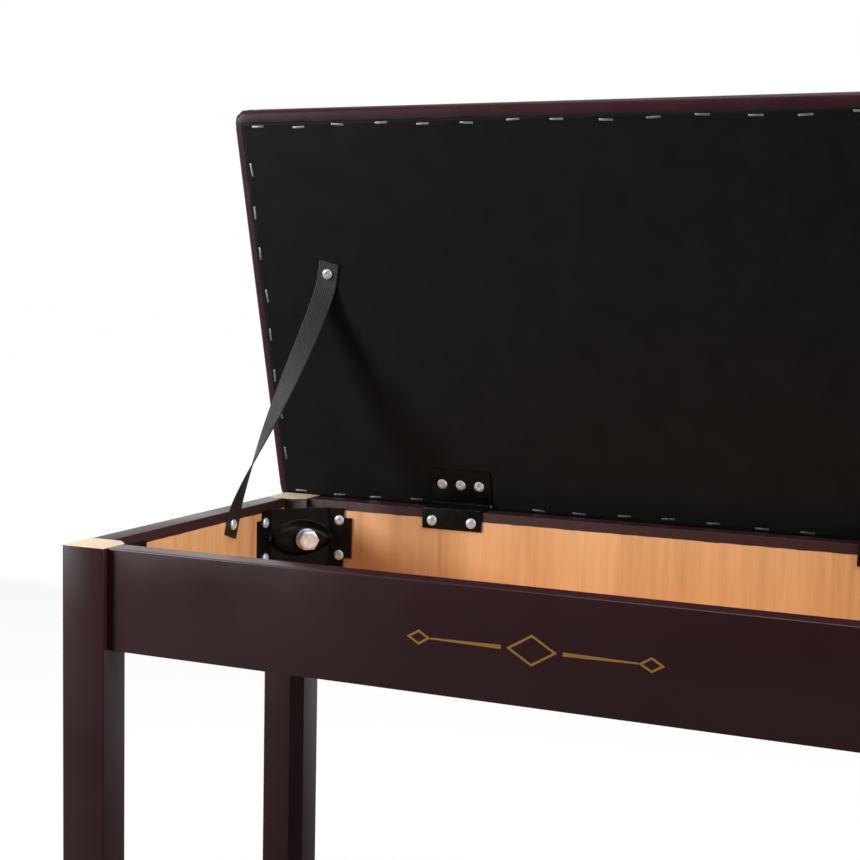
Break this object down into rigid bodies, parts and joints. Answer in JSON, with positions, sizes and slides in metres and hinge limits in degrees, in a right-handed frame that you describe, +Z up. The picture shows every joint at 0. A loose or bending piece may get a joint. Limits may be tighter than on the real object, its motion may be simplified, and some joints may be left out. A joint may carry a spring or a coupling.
{
  "type": "piano bench",
  "caption": "Wooden piano bench with four square legs, a storage box with corner brackets, and a hinged padded vinyl seat on straps.",
  "frame": {"origin": "on the floor, under the middle of the bench's overall box with the seat open", "axes": "+X to the right along the length, +Y to the back, +Z up; the front rail faces -Y"},
  "size_m": [0.78, 0.3915, 0.8074],
  "materials": {
    "painted_wood": "satin burgundy-brown lacquer",
    "raw_board": "raw plywood",
    "black_steel": "black zinc plate, smooth",
    "zinc": "bright zinc plate",
    "insert_steel": "yellow zinc plate",
    "glide_plastic": "moulded",
    "webbing": "woven polypropylene webbing",
    "foam": "upholstery foam",
    "vinyl": "satin burgundy vinyl",
    "dust_cloth": "black non-woven cloth"
  },
  "bodies": {
    "frame": {"leg_front_left": "painted_wood", "leg_front_right": "painted_wood", "leg_rear_left": "painted_wood", "leg_rear_right": "painted_wood", "front_rail": "painted_wood", "rear_rail": "painted_wood", "left_rail": "painted_wood", "right_rail": "painted_wood", "bottom_panel": "raw_board", "bracket_front_left": "black_steel", "bracket_front_right": "black_steel", "bracket_rear_left": "black_steel", "bracket_rear_right": "black_steel", "hinge_rail_leaf_left": "black_steel", "hinge_rail_leaf_right": "black_steel", "leg_inserts": "insert_steel", "leg_bolts": "zinc", "spring_washers": "zinc", "flat_washers": "zinc", "bracket_screws": "zinc", "hinge_pin_left": "zinc", "hinge_pin_right": "zinc", "rail_leaf_screws": "zinc", "strap_rail_screws": "zinc", "leg_glides": "glide_plastic", "strap_left": "webbing", "strap_right": "webbing"},
    "seat": {"seat_board": "raw_board", "seat_foam": "foam", "seat_cover": "vinyl", "dust_cover": "dust_cloth", "staples": "zinc", "hinge_lid_leaf_left": "black_steel", "hinge_lid_leaf_right": "black_steel", "lid_leaf_screws": "zinc", "strap_seat_screws": "zinc"}
  },
  "joints": [
    {"name": "seat_hinge", "type": "hinge", "parent": "frame", "child": "seat", "pos_m": [0, 0.15184, 0.4474], "axis": [1, 0, 0], "range_deg": [0, 75.6], "deforming": ["strap_left", "strap_right"]}
  ]
}
